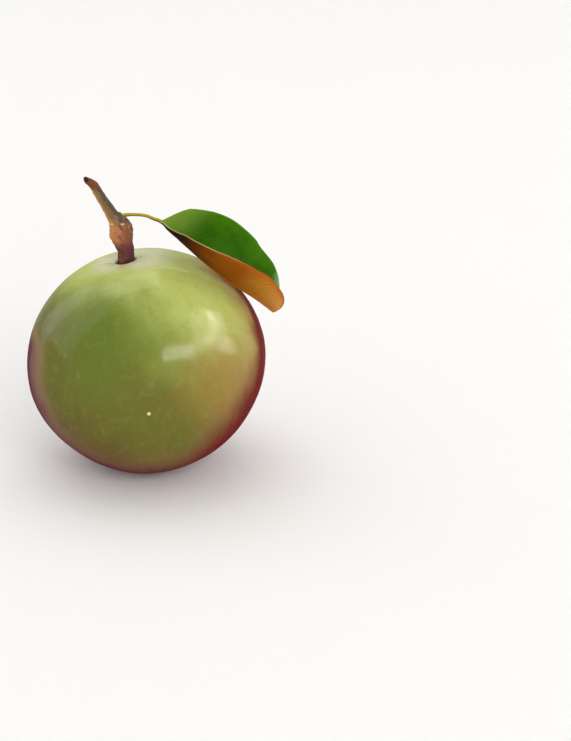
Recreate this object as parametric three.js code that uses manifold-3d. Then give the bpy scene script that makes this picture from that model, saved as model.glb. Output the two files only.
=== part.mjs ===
// Star apple as picked: a round fruit resting on its underside, the short piece of twig that it
// hung from, and one small leaf folded along its midrib.
// Millimetres, +Z up. The origin is the middle of the flat spot that the fruit rests on.

import * as THREE from "three";
import { mergeVertices } from "three/addons/utils/BufferGeometryUtils.js";
import Module from "manifold-3d";

const wasm = await Module();
wasm.setup();

const { degToRad, lerp } = THREE.MathUtils;

// Driving dimensions of the fruit

const FRUIT_WIDTH = 79.4;
const FRUIT_HEIGHT = 74.6; // along its own axis, before the hollow round the stalk
const FRUIT_LEAN = degToRad(10); // the stalk end leans toward -X
const REST_DEPTH = 0.6; // how much of the underside is pressed flat
const TAPER = 0.03; // how much narrower than a ball the fruit is halfway down to the blossom end
const HOLLOW_DEPTH = 2.2;
const HOLLOW_SPREAD = 8;
const BLOSSOM_DEPTH = 0.5;
const BLOSSOM_SPREAD = 2.5;
const FRUIT_SIDES = 60;
const FRUIT_RINGS = 36;
const STALK_END_CROWDING = 1.4; // above 1 the rings lie closer together at the stalk end

// Slow swells round the fruit's waist: waves per turn, share of the radius, phase
const SWELLS = [
  { waves: 3, share: 0.008, phase: 0.1 },
  { waves: 5, share: 0.004, phase: 2.1 },
];

// Driving dimensions of the twig: points on its middle line and the radius there, from the foot
// that sits in the fruit, through the knob where the old stalks grew, to the broken tip

const TWIG = [
  { at: [-5.0, 0, 66.8], radius: 2.3 },
  { at: [-4.9, 0, 70.6], radius: 2.6 },
  { at: [-4.8, 0, 75.6], radius: 2.55 },
  { at: [-5.5, 0, 77.9], radius: 3.0 },
  { at: [-6.0, 0, 80.4], radius: 3.5 },
  { at: [-6.2, 0, 83.0], radius: 3.65 },
  { at: [-7.0, 0.1, 85.0], radius: 2.95 },
  { at: [-8.6, 0.4, 87.0], radius: 2.1 },
  { at: [-10.3, 0.8, 89.7], radius: 1.65 },
  { at: [-12.8, 1.4, 93.7], radius: 1.45 },
  { at: [-14.8, 1.9, 96.9], radius: 1.35 },
  { at: [-17.2, 2.1, 98.6], radius: 0.85 },
];
const TWIG_SIDES = 16;
const TWIG_STEPS = 44;

// Swellings on the knob: the front one, the shoulder under the leaf, and an old leaf scar
const KNOB_SWELLINGS = [
  { at: [-7.9, -1.9, 81.0], radius: 2.0 },
  { at: [-3.7, -0.4, 82.6], radius: 1.35 },
  { at: [-8.4, -1.4, 84.3], radius: 1.3 },
];
const SWELLING_SIDES = 14;
const SWELLING_RINGS = 10;

// Driving dimensions of the leaf: its stalk, then its midrib from the base to the tip

const LEAF_STALK = [
  { at: [-7.0, 0.2, 86.6], radius: 0.75 },
  { at: [-4.3, -0.3, 87.4], radius: 0.6 },
  { at: [-2.3, -0.5, 87.6], radius: 0.5 },
  { at: [2.2, -0.8, 87.3], radius: 0.5 },
  { at: [4.6, -0.6, 86.2], radius: 0.55 },
];
const MIDRIB = [
  { at: [6.8, 0, 85.1], radius: 0.6 },
  { at: [14.1, -3.0, 78.9], radius: 0.55 },
  { at: [22.7, -5.2, 71.5], radius: 0.5 },
  { at: [29.7, -4.6, 65.4], radius: 0.45 },
  { at: [36.6, -2.2, 59.9], radius: 0.4 },
  { at: [42.9, 0.8, 53.8], radius: 0.35 },
];
const RIB_SIDES = 8;
const RIB_STEPS = 40;

const BLADE_HALF_WIDTH = 17.4;
const BLADE_THICKNESS = 0.7;
const BLADE_END_WIDTH = 0.5; // half the width left at the base and at the tip
const BLADE_ROUNDNESS = 0.46; // 0.5 is an ellipse, less is blunter
const BASE_BIAS = 0.03; // how much broader the half toward the base is
const CREASE = 1.1; // how softly the blade folds along the midrib
const BELLY = 0.04; // how far each half arches, as a share of its width
const MARGIN_WAVE = 0.2;
const WAVES_ALONG = 3.5;
// How far each half of the blade leans from upright, in degrees
const NEAR_LEAN = { least: 49, leastAt: 0.48, opening: 44 };
const FAR_LEAN = { base: 44, tip: 6 };
const BLADE_ALONG = 32;
const BLADE_ACROSS = 14;
const SLOPE_STEP = 0.002; // how far apart points are taken to find the blade's slope

const GAP = 0.3; // left between pieces that touch
const WELD = 1e-4; // corners closer than this are one corner

// A geometry with one corner per point, so that it can be bent without coming apart.
function welded(geometry) {
  const bare = geometry.clone();
  bare.deleteAttribute("normal");
  bare.deleteAttribute("uv");
  return mergeVertices(bare, WELD);
}

// Moves each corner of a geometry to where place(corner) puts it.
function reshaped(geometry, place) {
  const corners = geometry.getAttribute("position");
  const corner = new THREE.Vector3();
  for (let i = 0; i < corners.count; i += 1) {
    corner.fromBufferAttribute(corners, i);
    const moved = place(corner);
    corners.setXYZ(i, moved.x, moved.y, moved.z);
  }
  return geometry;
}

// A closed solid from a welded geometry, without the triangles that collapsed at a pole.
function solidOf(geometry) {
  const order = geometry.getIndex().array;
  const triangles = [];
  for (let i = 0; i < order.length; i += 3) {
    const [a, b, c] = [order[i], order[i + 1], order[i + 2]];
    if (a !== b && b !== c && c !== a) triangles.push(a, b, c);
  }
  return new wasm.Manifold(
    new wasm.Mesh({
      numProp: 3,
      vertProperties: geometry.getAttribute("position").array,
      triVerts: Uint32Array.from(triangles),
    }),
  );
}

function meshOf(name, solid, material) {
  const { vertProperties, triVerts } = solid.getMesh();
  const geometry = new THREE.BufferGeometry();
  geometry.setAttribute("position", new THREE.BufferAttribute(vertProperties, 3));
  geometry.setIndex(new THREE.BufferAttribute(triVerts, 1));
  geometry.computeVertexNormals();
  const mesh = new THREE.Mesh(geometry, material);
  mesh.name = name;
  return mesh;
}

const pointsOf = (stations) => stations.map((station) => new THREE.Vector3(...station.at));

// A round limb along a smooth curve through the stations. Its radius runs evenly from one station
// to the next. grow makes it larger all over, to cut room for it in a neighbour.
function limb(stations, sides, steps, grow = 0) {
  const path = new THREE.CatmullRomCurve3(pointsOf(stations));
  const { tangents, normals, binormals } = path.computeFrenetFrames(steps);
  const radiusAt = (share) => {
    const place = path.getUtoTmapping(share) * (stations.length - 1);
    const before = Math.min(Math.floor(place), stations.length - 2);
    return lerp(stations[before].radius, stations[before + 1].radius, place - before) + grow;
  };
  const rod = welded(new THREE.CylinderGeometry(1, 1, steps, sides, steps));
  return solidOf(
    reshaped(rod, (corner) => {
      const step = Math.round(corner.y + steps / 2);
      const radius = radiusAt(step / steps);
      const overrun = step === 0 ? -grow : step === steps ? grow : 0;
      return path
        .getPointAt(step / steps)
        .addScaledVector(tangents[step], overrun)
        .addScaledVector(normals[step], corner.x * radius)
        .addScaledVector(binormals[step], -corner.z * radius);
    }),
  );
}

// The twig

function twigSolid(grow = 0) {
  let twig = limb(TWIG, TWIG_SIDES, TWIG_STEPS, grow);
  for (const { at, radius } of KNOB_SWELLINGS) {
    const ball = new THREE.SphereGeometry(radius + grow, SWELLING_SIDES, SWELLING_RINGS);
    ball.translate(...at);
    twig = twig.add(solidOf(welded(ball)));
  }
  return twig;
}

// The fruit: a slightly flattened ball with a hollow round the stalk, a dimple where the blossom
// was, and slow swells round its waist, leaning on the flat spot under it

function fruitSolid() {
  const across = FRUIT_WIDTH / 2;
  const up = FRUIT_HEIGHT / 2;
  const profile = [];
  for (let ring = FRUIT_RINGS; ring >= 0; ring -= 1) {
    const fromStalk = Math.PI * (ring / FRUIT_RINGS) ** STALK_END_CROWDING;
    const height = up * Math.cos(fromStalk);
    const taper = height < 0 ? TAPER * Math.sin(2 * fromStalk) ** 2 : 0;
    const radius = across * Math.sin(fromStalk) * (1 - taper);
    const dent =
      height > 0
        ? -HOLLOW_DEPTH * Math.exp(-((radius / HOLLOW_SPREAD) ** 2))
        : BLOSSOM_DEPTH * Math.exp(-((radius / BLOSSOM_SPREAD) ** 2));
    profile.push(new THREE.Vector2(radius, height + dent));
  }
  const ball = welded(new THREE.LatheGeometry(profile, FRUIT_SIDES)).rotateX(Math.PI / 2);
  reshaped(ball, (corner) => {
    const turn = Math.atan2(corner.y, corner.x);
    const swell = SWELLS.reduce((sum, { waves, share, phase }) => {
      return sum + share * Math.cos(waves * turn + phase);
    }, 1);
    return corner.set(corner.x * swell, corner.y * swell, corner.z);
  });

  const standHeight = Math.hypot(across * Math.sin(FRUIT_LEAN), up * Math.cos(FRUIT_LEAN));
  const leanShift =
    ((across ** 2 - up ** 2) * Math.sin(FRUIT_LEAN) * Math.cos(FRUIT_LEAN)) / standHeight;
  ball.rotateY(-FRUIT_LEAN);
  ball.translate(leanShift, 0, standHeight - REST_DEPTH);

  const surface = new THREE.BoxGeometry(FRUIT_WIDTH, FRUIT_WIDTH, FRUIT_WIDTH);
  surface.translate(0, 0, -FRUIT_WIDTH / 2);
  return solidOf(ball).subtract(solidOf(welded(surface))).subtract(twigSolid(GAP));
}

// The leaf: an oval blade folded up along its midrib like a half-open book. share runs from the
// base to the tip, and side from -1 at the near margin to 1 at the far one.

const keel = new THREE.CatmullRomCurve3(pointsOf(MIDRIB));
const UP = new THREE.Vector3(0, 0, 1);

function bladePoint(share, side) {
  const along = keel.getTangentAt(share);
  const toNear = new THREE.Vector3().crossVectors(along, UP).normalize();
  const upright = new THREE.Vector3().crossVectors(toNear, along);
  const nearLean = NEAR_LEAN.least + NEAR_LEAN.opening * (share - NEAR_LEAN.leastAt) ** 2;
  const farLean = lerp(FAR_LEAN.base, FAR_LEAN.tip, share);
  const half = degToRad(nearLean + farLean) / 2;
  const tilt = degToRad(nearLean - farLean) / 2;
  const middle = upright.clone().multiplyScalar(Math.cos(tilt));
  middle.addScaledVector(toNear, Math.sin(tilt));
  const toFar = upright.multiplyScalar(Math.sin(tilt)).addScaledVector(toNear, -Math.cos(tilt));

  const oval = (4 * share * (1 - share)) ** BLADE_ROUNDNESS * (1 + BASE_BIAS * (0.5 - share));
  const width = Math.hypot(BLADE_HALF_WIDTH * oval, BLADE_END_WIDTH);
  const wave = MARGIN_WAVE * side ** 2 * oval * Math.sin(2 * Math.PI * WAVES_ALONG * share + side);
  const out = width * side * Math.sin(half);
  const fold = (Math.hypot(width * side, CREASE) - CREASE / 2) * Math.cos(half);
  const arch = -BELLY * width * Math.sin(Math.PI * Math.abs(side)) ** 2;
  return keel
    .getPointAt(share)
    .addScaledVector(toFar, out - Math.sign(side) * arch * Math.cos(half) + wave * Math.cos(half))
    .addScaledVector(middle, fold + arch * Math.sin(half) + wave * Math.sin(half));
}

function bladeSolid() {
  const box = new THREE.BoxGeometry(2, 1, 1, BLADE_ACROSS, 1, BLADE_ALONG);
  // The box splits its squares one way above and the other way below. The ones below are split
  // again, so that both faces of the thin blade bend along the same lines.
  const order = box.getIndex();
  const below = box.groups[3];
  for (let i = below.start; i < below.start + below.count; i += 6) {
    const [a, b, c, d] = [order.getX(i), order.getX(i + 1), order.getX(i + 4), order.getX(i + 2)];
    [a, b, c, a, c, d].forEach((corner, k) => order.setX(i + k, corner));
  }
  const inside = (value) => Math.min(Math.max(value, SLOPE_STEP), 1 - SLOPE_STEP);
  return solidOf(
    reshaped(welded(box), (corner) => {
      const side = corner.x;
      const share = (1 - Math.cos(Math.PI * (corner.z + 0.5))) / 2;
      const near = inside(share);
      const lengthwise = bladePoint(near + SLOPE_STEP, side).sub(bladePoint(near - SLOPE_STEP, side));
      const crosswise = bladePoint(near, side + SLOPE_STEP).sub(bladePoint(near, side - SLOPE_STEP));
      const upper = lengthwise.cross(crosswise).normalize();
      return bladePoint(share, side).addScaledVector(upper, corner.y * BLADE_THICKNESS);
    }),
  );
}

function leafSolid() {
  const rib = limb([...LEAF_STALK, ...MIDRIB], RIB_SIDES, RIB_STEPS);
  return bladeSolid().add(rib).subtract(twigSolid(GAP));
}

// Colours and the finished pieces

const skin = new THREE.MeshStandardMaterial({ color: 0x93a052, roughness: 0.35, metalness: 0 });
const bark = new THREE.MeshStandardMaterial({ color: 0x7a4a32, roughness: 0.8, metalness: 0 });
const foliage = new THREE.MeshStandardMaterial({ color: 0x3f7a1c, roughness: 0.4, metalness: 0 });

const starApple = new THREE.Group();
starApple.add(
  meshOf("fruit", fruitSolid(), skin),
  meshOf("twig", twigSolid(), bark),
  meshOf("leaf", leafSolid(), foliage),
);

export default starApple;
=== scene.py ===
import math

import bpy
import numpy as np
from mathutils import Matrix, Vector


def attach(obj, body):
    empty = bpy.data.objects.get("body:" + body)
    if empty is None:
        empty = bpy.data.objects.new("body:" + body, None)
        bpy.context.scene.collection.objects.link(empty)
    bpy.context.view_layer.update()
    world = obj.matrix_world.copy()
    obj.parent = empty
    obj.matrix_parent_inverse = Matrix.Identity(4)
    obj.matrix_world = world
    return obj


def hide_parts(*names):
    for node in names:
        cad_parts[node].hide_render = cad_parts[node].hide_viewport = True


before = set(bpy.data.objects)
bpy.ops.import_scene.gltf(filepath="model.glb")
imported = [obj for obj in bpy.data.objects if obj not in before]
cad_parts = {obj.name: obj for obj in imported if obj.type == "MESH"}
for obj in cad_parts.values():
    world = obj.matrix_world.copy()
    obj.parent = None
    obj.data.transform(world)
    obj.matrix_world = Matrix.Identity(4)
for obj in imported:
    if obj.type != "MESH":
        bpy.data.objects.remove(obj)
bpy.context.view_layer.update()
scene = bpy.context.scene
MM = 0.001

# Camera
# It looks along +Y from 22 degrees above the surface, through a long lens. The fruit and its leaf lie in
# the left half of the upright picture.

LENS = 85.0
SENSOR = 36.0
PICTURE = (571, 741)
LOOK_DOWN = math.radians(22)
LOOKED_AT = Vector((47.16, -1.26, 33.66)) * MM
STAND_OFF = 583.7 * MM
NEAREST_SEEN = 0.01

LOOKING = Vector((0, math.cos(LOOK_DOWN), -math.sin(LOOK_DOWN)))
RIGHTWARD = Vector((1, 0, 0))
UPWARD = RIGHTWARD.cross(LOOKING)

camera = bpy.data.objects.new("camera", bpy.data.cameras.new("camera"))
camera.data.lens = LENS
camera.data.sensor_width = SENSOR
camera.data.clip_start = NEAREST_SEEN
camera.location = LOOKED_AT - LOOKING * STAND_OFF
camera.rotation_euler = (math.pi / 2 - LOOK_DOWN, 0, 0)
scene.collection.objects.link(camera)
scene.camera = camera

# Fruit
# One round berry with a thin waxy skin. The skin dips in a shallow hollow round the stalk and closes on it
# in a narrow well, and the underside is pressed flat where the fruit rests. One drop of sap has dried low
# on its front, and its pale colour is a painted glint as well.

FRUIT_WIDTH = 79.4 * MM
FRUIT_HEIGHT = 74.6 * MM
FRUIT_LEAN = math.radians(10)
REST_DEPTH = 0.6 * MM
STALK_FOOT = (-4.9 * MM, 0.0)
ACROSS = FRUIT_WIDTH / 2
UP = FRUIT_HEIGHT / 2
STAND_HEIGHT = math.hypot(ACROSS * math.sin(FRUIT_LEAN), UP * math.cos(FRUIT_LEAN))
LEAN_SHIFT = (ACROSS**2 - UP**2) * math.sin(FRUIT_LEAN) * math.cos(FRUIT_LEAN) / STAND_HEIGHT
FRUIT_MIDDLE = Vector((LEAN_SHIFT, 0, STAND_HEIGHT - REST_DEPTH))


def feed(tree, socket, value):
    """Puts a number, a colour, a material or another node's output into a socket."""
    if isinstance(value, Value):
        tree.links.new(value.socket, socket)
    elif value is not None:
        socket.default_value = value


def node(tree, kind, *values, out=0, named=None, **settings):
    """A new node with its settings made and its inputs fed in order or by name. Returns an output."""
    made = tree.nodes.new(kind)
    for name, setting in settings.items():
        setattr(made, name, setting)
    for socket, value in zip(made.inputs, values):
        feed(tree, socket, value)
    for name, value in (named or {}).items():
        feed(tree, made.inputs[name], value)
    return Value(tree, made.outputs[out])


class Value:
    """An output in a node tree, reckoned with by + - * / ** as a number or a vector is."""

    def __init__(self, tree, socket):
        self.tree = tree
        self.socket = socket

    def by(self, how, *others):
        operands = (self, *others)
        is_vector = any(isinstance(v, Value) and v.socket.type == "VECTOR" for v in operands)
        kind = "ShaderNodeVectorMath" if is_vector else "ShaderNodeMath"
        out = "Value" if how in ("DOT_PRODUCT", "LENGTH", "DISTANCE") else 0
        return node(self.tree, kind, *operands, operation=how, out=out)

    def __add__(self, other):
        return self.by("ADD", other)

    def __sub__(self, other):
        return self.by("SUBTRACT", other)

    def __mul__(self, other):
        if self.socket.type == "VECTOR":
            return node(self.tree, "ShaderNodeVectorMath", self, None, None, other, operation="SCALE")
        return self.by("MULTIPLY", other)

    def __truediv__(self, other):
        return self.by("DIVIDE", other)

    def __pow__(self, other):
        return self.by("POWER", other)

    def __neg__(self):
        return self * -1

    def __rsub__(self, other):
        return self * -1 + other

    __radd__ = __add__
    __rmul__ = __mul__

    def sine(self):
        return self.by("SINE")

    def cosine(self):
        return self.by("COSINE")

    def root(self):
        return self.by("SQRT")

    def size(self):
        return self.by("ABSOLUTE")

    def above(self, floor):
        return self.by("MAXIMUM", floor)

    def below(self, ceiling):
        return self.by("MINIMUM", ceiling)

    def between(self, low, high, start=0.0, end=1.0):
        """start up to low, end from high on, and a smooth step from one to the other."""
        values = {"Value": self, "From Min": low, "From Max": high, "To Min": start, "To Max": end}
        return node(self.tree, "ShaderNodeMapRange", named=values, interpolation_type="SMOOTHSTEP")

    def hump(self, middle, spread):
        """1 at the middle, fading to either side."""
        offset = (self - middle) / spread
        return (-(offset * offset)).by("EXPONENT")

    def parts(self):
        """The x, y and z of a vector."""
        split = node(self.tree, "ShaderNodeSeparateXYZ", self)
        return [Value(self.tree, output) for output in split.socket.node.outputs]


def vector(tree, *parts):
    return node(tree, "ShaderNodeCombineXYZ", *parts)


def cloud(tree, place, scale, detail=3.0, roughness=0.5):
    """Smooth random values round 0.5."""
    values = {"Vector": place, "Scale": scale, "Detail": detail, "Roughness": roughness}
    return node(tree, "ShaderNodeTexNoise", named=values)


def specks(tree, place, scale):
    """How far each point is from the nearest of many scattered ones, and a random number for that one."""
    distance = node(tree, "ShaderNodeTexVoronoi", named={"Vector": place, "Scale": scale})
    colour = Value(tree, distance.socket.node.outputs["Color"])
    return distance, node(tree, "ShaderNodeSeparateColor", colour)


def new_tree(name, sizes):
    """An empty Geometry Nodes tree with a named input for each size. Returns it and its inputs."""
    tree = bpy.data.node_groups.new(name, "GeometryNodeTree")
    tree.interface.new_socket("Geometry", in_out="INPUT", socket_type="NodeSocketGeometry")
    tree.interface.new_socket("Geometry", in_out="OUTPUT", socket_type="NodeSocketGeometry")
    for size in sizes:
        tree.interface.new_socket(size, in_out="INPUT", socket_type="NodeSocketFloat")
    inputs = tree.nodes.new("NodeGroupInput")
    return tree, {socket.name: Value(tree, socket) for socket in inputs.outputs}


def moved(tree, geometry, position=None, offset=None):
    return node(tree, "GeometryNodeSetPosition", geometry, None, position, offset)


def noted(tree, geometry, name, value):
    """Keeps a value on each point of a geometry, under a name."""
    return node(tree, "GeometryNodeStoreNamedAttribute", geometry, None, name, value)


def recalled(tree, name):
    """The value kept under a name, in a Geometry Nodes tree or in a material's."""
    if tree.type == "GEOMETRY":
        return node(tree, "GeometryNodeInputNamedAttribute", name)
    return node(tree, "ShaderNodeAttribute", attribute_name=name, out="Fac")


def end_tree(tree, geometry, *finishes):
    """Closes a tree: real geometry, smooth, with its finish or finishes, and the output."""
    geometry = node(tree, "GeometryNodeRealizeInstances", geometry)
    geometry = node(tree, "GeometryNodeSetShadeSmooth", geometry)
    for material, where in finishes:
        geometry = node(tree, "GeometryNodeSetMaterial", geometry, where, material)
    feed(tree, tree.nodes.new("NodeGroupOutput").inputs[0], geometry)


def grow(name, tree, sizes, host=None):
    """The plain mesh object that a tree makes from its host mesh."""
    piece = bpy.data.objects.new(name, host or bpy.data.meshes.new(name))
    scene.collection.objects.link(piece)
    growth = piece.modifiers.new("growth", "NODES")
    growth.node_group = tree
    for item in tree.interface.items_tree:
        if item.name in sizes:
            growth[item.identifier] = float(sizes[item.name])
    depsgraph = bpy.context.evaluated_depsgraph_get()
    mesh = bpy.data.meshes.new_from_object(piece.evaluated_get(depsgraph), depsgraph=depsgraph)
    piece.modifiers.remove(growth)
    piece.data = mesh
    mesh.name = name
    return piece


def paint(code):
    """The linear colour of an RRGGBB code, by the usual curve for screen colours."""
    shares = [int(code[i : i + 2], 16) / 255 for i in (0, 2, 4)]
    linear = [s / 12.92 if s <= 0.04045 else ((s + 0.055) / 1.055) ** 2.4 for s in shares]
    return (*linear, 1.0)


def new_material(name, **settings):
    """A material whose shader has these settings. Returns it, its tree and its shader's inputs."""
    material = bpy.data.materials.new(name)
    material.use_nodes = True
    tree = material.node_tree
    inputs = tree.nodes["Principled BSDF"].inputs
    for setting, value in settings.items():
        inputs[setting.replace("_", " ")].default_value = value
    return material, tree, inputs


# Where a mix of colours takes its share and its two colours, and where it gives the result
MIX_INPUTS = (0, 6, 7)
MIX_OUTPUT = 2


def mix(tree, share, first, second):
    """One colour over another."""
    made = tree.nodes.new("ShaderNodeMix")
    made.data_type = "RGBA"
    for socket, value in zip(MIX_INPUTS, (share, first, second)):
        feed(tree, made.inputs[socket], value)
    return Value(tree, made.outputs[MIX_OUTPUT])


def roughen(tree, inputs, height, depth):
    """Fine relief of this depth in metres."""
    values = {"Strength": 1.0, "Distance": depth, "Height": height}
    normal = node(tree, "ShaderNodeBump", named=values)
    feed(tree, inputs["Normal"], normal)
    return normal


# A step is where it begins, where it is complete, and the shares there. A pattern is the scale, detail and
# roughness of a cloud, on a ball of radius 1. A stain is a step and the colour that comes in with it
SLOW = (1.5, 2.0)
BLOTCH = (4.0, 4.0)
STREAK = (5.0, 5.0, 0.65)
MOTTLE = (15.0, 5.0, 0.65)
FINE = (45.0, 4.0, 0.6)
STREAKS_ROUND = 3.0
STREAKS_ALONG = 0.7
NEAR_AXIS = 0.0001

# The skin is palest toward the upper right and back and olive, then brown, away from it: partly its own
# colour on the side that had the most sun, partly painted light and shade
LIT_SUNNY_SIDE = (0.5, 0.45, 0.65)
BROWN = paint("5c4820")
OLIVE = ((-0.95, -0.6), paint("656324"))
FRESH = ((-0.34, 0.2), paint("859140"))
SUNNED_AND_LIT = ((0.0, 0.6), paint("bcc66c"))
SUN_AND_LIGHT_WANDER = {"slow": 0.35, "blotch": 0.25}
# The shoulder left of the stalk is paler too
SHOULDER_UP = (0.6, 0.82)
SHOULDER_WEST = (0.1, -0.3)
SHOULDER_LIFT = 0.25
# One patch in front stayed green, a warm patch on the right cheek is a painted reflection, and a faint
# darker patch high on the right, under the leaf's edge, is the leaf's painted shadow. Their steps go by the
# distance from each one's middle
GREEN_MIDDLE = (-0.3, -0.82, 0.48)
UNRIPE = ((0.7, 0.1, 0, 0.8), paint("5f7026"))
WARM_REFLECTION_MIDDLE = (0.72, -0.67, 0.15)
WARM_REFLECTION = ((0.65, 0.1, 0, 0.75), paint("947338"))
PATCH_WANDER = 0.3
LEAF_SHADOW_MIDDLE = (0.5, -0.06, 0.86)
LEAF_SHADOW = ((0.09, 0.01, 0, 0.35), paint("737a3c"))
LEAF_SHADOW_WANDER = 0.08

DARK_STREAKS = ((0.05, 0.3, 0, 0.25), paint("55601f"))
DARK_MOTTLE = ((0.0, 0.22, 0, 0.17), paint("5d6526"))
PALE_MOTTLE = ((0.0, -0.25, 0, 0.09), paint("bcc182"))
PALE_STREAKS = ((-0.05, -0.3, 0, 0.08), paint("c3c67c"))
PALE_DOTS = ((0.07, 0.02, 0, 0.2), paint("cfc98a"))
DOTS_SCALE = 30.0
DOTS_VARY = 0.06
BROWN_FLECKS = ((0.12, 0.25, 0, 0.35), paint("6b5a2c"))

# The blush covers the back. It comes further round on the low cheek and the west rim and less far round
# high up, and its edge wanders and softens most behind
BLUSH_EDGE = 0.31
HIGH_FROM = 0.42
HIGH_TILT = 0.35
HIGH_RETREAT = 0.9
LOW_CHEEK_FROM = 0.35
LOW_CHEEK_TOP = 0.1
WEST_RIM = (0.6, 0.95)
WEST_RIM_TOP = (0.3, 0.05)
WEST_RIM_FOOT = (-0.75, -0.35, 0.4, 1.0)
BEHIND = (0.3, -0.4)
BLUSH_ADVANCE = {"low cheek": 0.8, "west rim": 0.2}
BLUSH_WANDER = {"slow": 0.9, "blotch": 0.55, "streak": 0.3, "in front": 0.34, "behind": 0.7}
BLUSH_SOFTNESS = {"in front": 0.1, "behind": 0.25, "low cheek": 0.5, "west rim": 0.1, "low": 0.16}
BLUSH_SHARES = (0, 0.96)
MAUVE = paint("663046")
CRIMSON = ((-0.6, 0.5), paint("6e0c1a"))
CRIMSON_WANDER = 1.5
DARK_RED = ((-0.1, 0.3, 0, 0.5), paint("451722"))
DARK_RED_FINE = 0.4
PALE_RED = ((0.0, 0.6, 0, 0.45), paint("9a6048"))
PALE_RED_BLOTCH = 1.2
PALE_RED_STREAK = 1.6
# A dull halo runs ahead of the blush
LOW_HALO = paint("885442")
HIGH_HALO = ((-0.55, 0.0), paint("a07450"))
WEST_HALO = paint("b48c7c")
WEST_HALO_SHARE = 0.8
HALO_LEAD = 0.14
HALO_SPREAD = 1.3
HALO_SHARES = (0, 0.55)

# Round the stalk lie a whitish bloom that is partly a painted sheen, a ring of russet and fine cracks, each
# with its bearing in degrees and its length in mm
ON_TOP = (0.4, 0.6)
BLOOM_AND_SHEEN = ((14.5 * MM, 7 * MM, 0, 0.76), paint("e2dfcb"))
BLOOM_AND_SHEEN_EASTWARD = 0.25
BLOOM_AND_SHEEN_WANDER = 7 * MM
BLOOM_AND_SHEEN_STREAKS = (0.8, 1.2)
BLOOM_AND_SHEEN_GAP = (-1.1, -0.85)
GAP_TURN = 0.1
GAP_WANDER = 0.4
RUSSET = ((4.0 * MM, 3.2 * MM, 0, 0.9), paint("83703c"))
RUSSET_WANDER = {"blotch": 1.5, "streak": 2.0}
STALK_CRACKS = [(184, 11), (205, 7), (12, 8), (35, 6), (255, 5), (100, 7), (150, 6)]
CRACKED = paint("7d7430")
CRACK_SHARE = 0.8
CRACK_BREADTH = (0.45 * MM, 0.1 * MM)
CRACK_FULL = 3 * MM
CRACK_WANDER = 0.8 * MM
CRACK_SAME_WAY = (0.0, 0.5)

SAP_AND_GLINT = paint("d4cc90")
SAP_GLOSS = 0.6
SKIN_GLOSS = (-0.2, 0.1, 0.25, 0.05)
BLOOM_AND_SHEEN_DULLS = 0.85
SKIN_ROUGHNESS = 0.45
ROUGHNESS_WANDER = {"fine": 0.2, "blotch": 0.12}
SKIN_RELIEF = 0.03 * MM


def stained(tree, colour, pattern, stain):
    """A colour under a stain that comes in with the pattern's value."""
    step, tint = stain
    return mix(tree, pattern.between(*step), colour, tint)


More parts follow.
